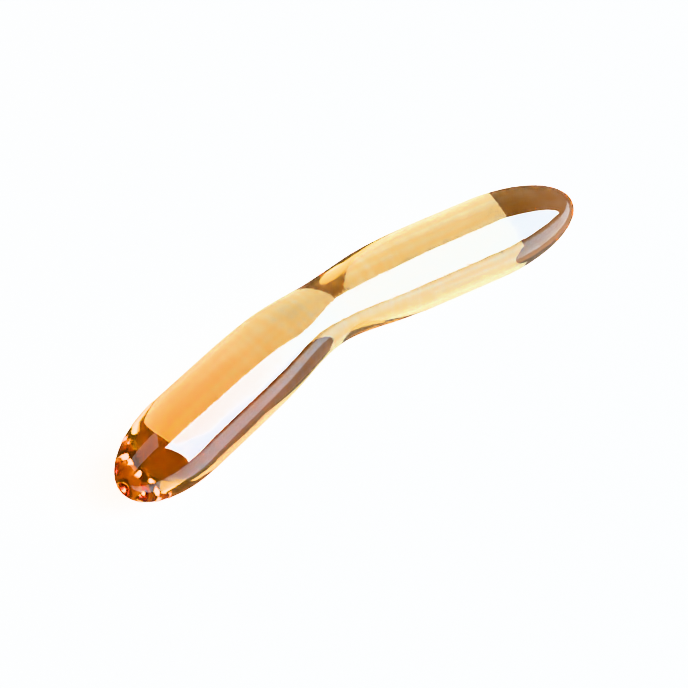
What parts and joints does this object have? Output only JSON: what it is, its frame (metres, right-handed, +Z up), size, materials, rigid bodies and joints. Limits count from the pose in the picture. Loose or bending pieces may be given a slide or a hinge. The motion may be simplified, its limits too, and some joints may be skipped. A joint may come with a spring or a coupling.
{
  "type": "glass massage wand",
  "caption": "Smooth solid amber glass wand with a gentle bend at a slim waist and two rounded ends, one blunter than the other.",
  "frame": {"origin": "bottom centre of the wand's box, as it lies with its bend level", "axes": "+X from the blunt near end to the longer far end, +Y to the outside of the bend, +Z up"},
  "size_m": [0.1838, 0.0356, 0.027],
  "materials": {
    "amber_glass": "fire-polished, clear amber right through"
  },
  "bodies": {
    "root": {"glass_wand": "amber_glass"}
  },
  "joints": []
}
